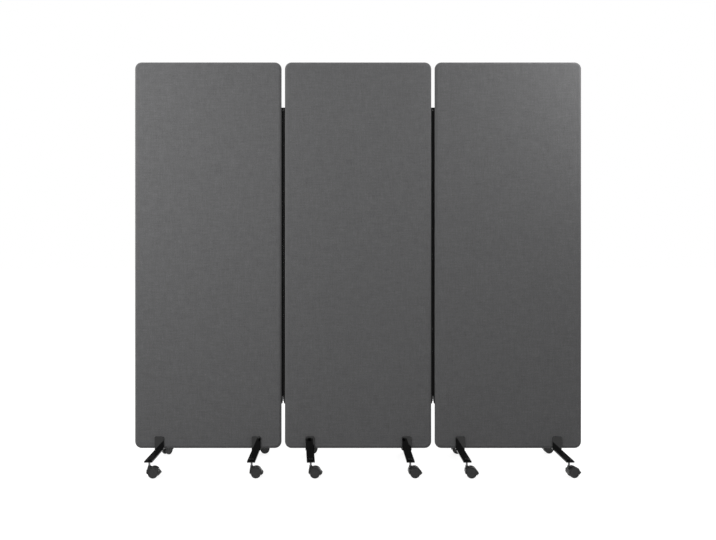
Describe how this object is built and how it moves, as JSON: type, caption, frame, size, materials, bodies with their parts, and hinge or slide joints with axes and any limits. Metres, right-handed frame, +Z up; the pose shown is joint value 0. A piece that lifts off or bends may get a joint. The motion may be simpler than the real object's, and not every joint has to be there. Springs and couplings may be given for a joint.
{
  "type": "rolling partition",
  "caption": "Freestanding fabric-covered room divider: flat acoustic panels zipped edge to edge, each on bar feet with swivel casters and brakes.",
  "frame": {"origin": "on the floor, under the centre of the middle panel", "axes": "+Z up, +X along the partition, -Y out of its front, the side the brake pedals are on"},
  "size_m": [1.858, 0.385, 1.6762],
  "materials": {
    "panel_fabric": "matte",
    "acoustic_board": "matte",
    "frame_steel": "satin",
    "foot_black": "gloss",
    "black_fastener": "satin",
    "stem_steel": "satin",
    "hood_plastic": "satin",
    "wheel_nylon": "satin",
    "pedal_plastic": "satin",
    "zip_tape": "matte",
    "zip_teeth": "satin",
    "slider_metal": "satin",
    "pull_metal": "satin"
  },
  "bodies": {
    "left_panel": {"left_frame": "frame_steel", "left_acoustic_boards": "acoustic_board", "left_fabric_cover": "panel_fabric", "foot_1": "foot_black", "foot_2": "foot_black", "left_foot_fasteners": "black_fastener", "left_caster_stems": "stem_steel", "left_zip_tape": "zip_tape"},
    "middle_panel": {"middle_frame": "frame_steel", "middle_acoustic_boards": "acoustic_board", "middle_fabric_cover": "panel_fabric", "foot_3": "foot_black", "foot_4": "foot_black", "middle_foot_fasteners": "black_fastener", "middle_caster_stems": "stem_steel", "middle_zip_tape": "zip_tape"},
    "right_panel": {"right_frame": "frame_steel", "right_acoustic_boards": "acoustic_board", "right_fabric_cover": "panel_fabric", "foot_5": "foot_black", "foot_6": "foot_black", "right_foot_fasteners": "black_fastener", "right_caster_stems": "stem_steel", "right_zip_tape": "zip_tape"},
    "left_zip": {"left_zip_chain": "zip_teeth"},
    "left_slider": {"left_zip_slider": "slider_metal"},
    "left_pull": {"left_zip_pull": "pull_metal"},
    "right_zip": {"right_zip_chain": "zip_teeth"},
    "right_slider": {"right_zip_slider": "slider_metal"},
    "right_pull": {"right_zip_pull": "pull_metal"},
    "front_caster_1": {"front_hood_1": "hood_plastic"},
    "front_wheel_pair_1": {"front_wheels_1": "wheel_nylon"},
    "rear_caster_1": {"rear_hood_1": "hood_plastic"},
    "rear_wheel_pair_1": {"rear_wheels_1": "wheel_nylon"},
    "pedal_1": {"brake_pedal_1": "pedal_plastic"},
    "front_caster_2": {"front_hood_2": "hood_plastic"},
    "front_wheel_pair_2": {"front_wheels_2": "wheel_nylon"},
    "rear_caster_2": {"rear_hood_2": "hood_plastic"},
    "rear_wheel_pair_2": {"rear_wheels_2": "wheel_nylon"},
    "pedal_2": {"brake_pedal_2": "pedal_plastic"},
    "front_caster_3": {"front_hood_3": "hood_plastic"},
    "front_wheel_pair_3": {"front_wheels_3": "wheel_nylon"},
    "rear_caster_3": {"rear_hood_3": "hood_plastic"},
    "rear_wheel_pair_3": {"rear_wheels_3": "wheel_nylon"},
    "pedal_3": {"brake_pedal_3": "pedal_plastic"},
    "front_caster_4": {"front_hood_4": "hood_plastic"},
    "front_wheel_pair_4": {"front_wheels_4": "wheel_nylon"},
    "rear_caster_4": {"rear_hood_4": "hood_plastic"},
    "rear_wheel_pair_4": {"rear_wheels_4": "wheel_nylon"},
    "pedal_4": {"brake_pedal_4": "pedal_plastic"},
    "front_caster_5": {"front_hood_5": "hood_plastic"},
    "front_wheel_pair_5": {"front_wheels_5": "wheel_nylon"},
    "rear_caster_5": {"rear_hood_5": "hood_plastic"},
    "rear_wheel_pair_5": {"rear_wheels_5": "wheel_nylon"},
    "pedal_5": {"brake_pedal_5": "pedal_plastic"},
    "front_caster_6": {"front_hood_6": "hood_plastic"},
    "front_wheel_pair_6": {"front_wheels_6": "wheel_nylon"},
    "rear_caster_6": {"rear_hood_6": "hood_plastic"},
    "rear_wheel_pair_6": {"rear_wheels_6": "wheel_nylon"},
    "pedal_6": {"brake_pedal_6": "pedal_plastic"}
  },
  "joints": [
    {"name": "left_fold", "type": "hinge", "parent": "middle_panel", "child": "left_panel", "pos_m": [-0.312, 0, 0], "axis": [0, 0, 1], "range_deg": [-38, 38]},
    {"name": "left_zip_bend", "type": "hinge", "parent": "middle_panel", "child": "left_zip", "pos_m": [-0.305, 0, 0], "axis": [0, 0, 1], "range_deg": [-19, 19]},
    {"name": "left_slider_travel", "type": "slide", "parent": "left_zip", "child": "left_slider", "axis": [0, 0, 1], "range_m": [0, 1.18]},
    {"name": "left_pull_swing", "type": "hinge", "parent": "left_slider", "child": "left_pull", "pos_m": [-0.312, -0.0047, 0.2836], "axis": [-1, 0, 0], "range_deg": [0, 170]},
    {"name": "right_fold", "type": "hinge", "parent": "middle_panel", "child": "right_panel", "pos_m": [0.312, 0, 0], "axis": [0, 0, -1], "range_deg": [-38, 38]},
    {"name": "right_zip_bend", "type": "hinge", "parent": "middle_panel", "child": "right_zip", "pos_m": [0.305, 0, 0], "axis": [0, 0, -1], "range_deg": [-19, 19]},
    {"name": "right_slider_travel", "type": "slide", "parent": "right_zip", "child": "right_slider", "axis": [0, 0, 1], "range_m": [0, 1.18]},
    {"name": "right_pull_swing", "type": "hinge", "parent": "right_slider", "child": "right_pull", "pos_m": [0.312, -0.0047, 0.2836], "axis": [-1, 0, 0], "range_deg": [0, 170]},
    {"name": "front_swivel_1", "type": "hinge", "parent": "left_panel", "child": "front_caster_1", "pos_m": [-0.825, -0.172, 0.05], "axis": [0, 0, 1], "continuous": true},
    {"name": "front_roll_1", "type": "hinge", "parent": "front_caster_1", "child": "front_wheel_pair_1", "pos_m": [-0.80754, -0.17322, 0.02], "axis": [0.0698, 0.9976, 0], "continuous": true},
    {"name": "pedal_press_1", "type": "hinge", "parent": "front_caster_1", "child": "pedal_1", "pos_m": [-0.80754, -0.17322, 0.02], "axis": [0.0698, 0.9976, 0], "range_deg": [0, 9]},
    {"name": "rear_swivel_1", "type": "hinge", "parent": "left_panel", "child": "rear_caster_1", "pos_m": [-0.825, 0.172, 0.05], "axis": [0, 0, 1], "continuous": true},
    {"name": "rear_roll_1", "type": "hinge", "parent": "rear_caster_1", "child": "rear_wheel_pair_1", "pos_m": [-0.8324, 0.15614, 0.02], "axis": [0.9063, -0.4226, 0], "continuous": true},
    {"name": "front_swivel_2", "type": "hinge", "parent": "left_panel", "child": "front_caster_2", "pos_m": [-0.423, -0.172, 0.05], "axis": [0, 0, 1], "continuous": true},
    {"name": "front_roll_2", "type": "hinge", "parent": "front_caster_2", "child": "front_wheel_pair_2", "pos_m": [-0.40552, -0.17108, 0.02], "axis": [-0.0523, 0.9986, 0], "continuous": true},
    {"name": "pedal_press_2", "type": "hinge", "parent": "front_caster_2", "child": "pedal_2", "pos_m": [-0.40552, -0.17108, 0.02], "axis": [-0.0523, 0.9986, 0], "range_deg": [0, 9]},
    {"name": "rear_swivel_2", "type": "hinge", "parent": "left_panel", "child": "rear_caster_2", "pos_m": [-0.423, 0.172, 0.05], "axis": [0, 0, 1], "continuous": true},
    {"name": "rear_roll_2", "type": "hinge", "parent": "rear_caster_2", "child": "rear_wheel_pair_2", "pos_m": [-0.40551, 0.17261, 0.02], "axis": [-0.0349, 0.9994, 0], "continuous": true},
    {"name": "front_swivel_3", "type": "hinge", "parent": "middle_panel", "child": "front_caster_3", "pos_m": [-0.1905, -0.17168, 0.05], "axis": [0, 0, 1], "continuous": true},
    {"name": "front_roll_3", "type": "hinge", "parent": "front_caster_3", "child": "front_wheel_pair_3", "pos_m": [-0.17302, -0.17259, 0.02], "axis": [0.0523, 0.9986, 0], "continuous": true},
    {"name": "pedal_press_3", "type": "hinge", "parent": "front_caster_3", "child": "pedal_3", "pos_m": [-0.17302, -0.17259, 0.02], "axis": [0.0523, 0.9986, 0], "range_deg": [0, 9]},
    {"name": "rear_swivel_3", "type": "hinge", "parent": "middle_panel", "child": "rear_caster_3", "pos_m": [-0.2115, 0.17168, 0.05], "axis": [0, 0, 1], "continuous": true},
    {"name": "rear_roll_3", "type": "hinge", "parent": "rear_caster_3", "child": "rear_wheel_pair_3", "pos_m": [-0.19404, 0.17046, 0.02], "axis": [0.0698, 0.9976, 0], "continuous": true},
    {"name": "front_swivel_4", "type": "hinge", "parent": "middle_panel", "child": "front_caster_4", "pos_m": [0.201, -0.172, 0.05], "axis": [0, 0, 1], "continuous": true},
    {"name": "front_roll_4", "type": "hinge", "parent": "front_caster_4", "child": "front_wheel_pair_4", "pos_m": [0.21843, -0.17047, 0.02], "axis": [-0.0872, 0.9962, 0], "continuous": true},
    {"name": "pedal_press_4", "type": "hinge", "parent": "front_caster_4", "child": "pedal_4", "pos_m": [0.21843, -0.17047, 0.02], "axis": [-0.0872, 0.9962, 0], "range_deg": [0, 9]},
    {"name": "rear_swivel_4", "type": "hinge", "parent": "middle_panel", "child": "rear_caster_4", "pos_m": [0.201, 0.172, 0.05], "axis": [0, 0, 1], "continuous": true},
    {"name": "rear_roll_4", "type": "hinge", "parent": "rear_caster_4", "child": "rear_wheel_pair_4", "pos_m": [0.21848, 0.17292, 0.02], "axis": [-0.0523, 0.9986, 0], "continuous": true},
    {"name": "front_swivel_5", "type": "hinge", "parent": "right_panel", "child": "front_caster_5", "pos_m": [0.423, -0.172, 0.05], "axis": [0, 0, 1], "continuous": true},
    {"name": "front_roll_5", "type": "hinge", "parent": "front_caster_5", "child": "front_wheel_pair_5", "pos_m": [0.44049, -0.17261, 0.02], "axis": [0.0349, 0.9994, 0], "continuous": true},
    {"name": "pedal_press_5", "type": "hinge", "parent": "front_caster_5", "child": "pedal_5", "pos_m": [0.44049, -0.17261, 0.02], "axis": [0.0349, 0.9994, 0], "range_deg": [0, 9]},
    {"name": "rear_swivel_5", "type": "hinge", "parent": "right_panel", "child": "rear_caster_5", "pos_m": [0.423, 0.172, 0.05], "axis": [0, 0, 1], "continuous": true},
    {"name": "rear_roll_5", "type": "hinge", "parent": "rear_caster_5", "child": "rear_wheel_pair_5", "pos_m": [0.44012, 0.16836, 0.02], "axis": [0.2079, 0.9781, 0], "continuous": true},
    {"name": "front_swivel_6", "type": "hinge", "parent": "right_panel", "child": "front_caster_6", "pos_m": [0.825, -0.172, 0.05], "axis": [0, 0, 1], "continuous": true},
    {"name": "front_roll_6", "type": "hinge", "parent": "front_caster_6", "child": "front_wheel_pair_6", "pos_m": [0.84212, -0.16836, 0.02], "axis": [-0.2079, 0.9781, 0], "continuous": true},
    {"name": "pedal_press_6", "type": "hinge", "parent": "front_caster_6", "child": "pedal_6", "pos_m": [0.84212, -0.16836, 0.02], "axis": [-0.2079, 0.9781, 0], "range_deg": [0, 9]},
    {"name": "rear_swivel_6", "type": "hinge", "parent": "right_panel", "child": "rear_caster_6", "pos_m": [0.825, 0.172, 0.05], "axis": [0, 0, 1], "continuous": true},
    {"name": "rear_roll_6", "type": "hinge", "parent": "rear_caster_6", "child": "rear_wheel_pair_6", "pos_m": [0.8424, 0.17383, 0.02], "axis": [-0.1045, 0.9945, 0], "continuous": true}
  ],
  "couplings": [
    {"joint": "left_zip_bend", "follows": "left_fold", "ratio": 0.5},
    {"joint": "right_zip_bend", "follows": "right_fold", "ratio": 0.5}
  ]
}
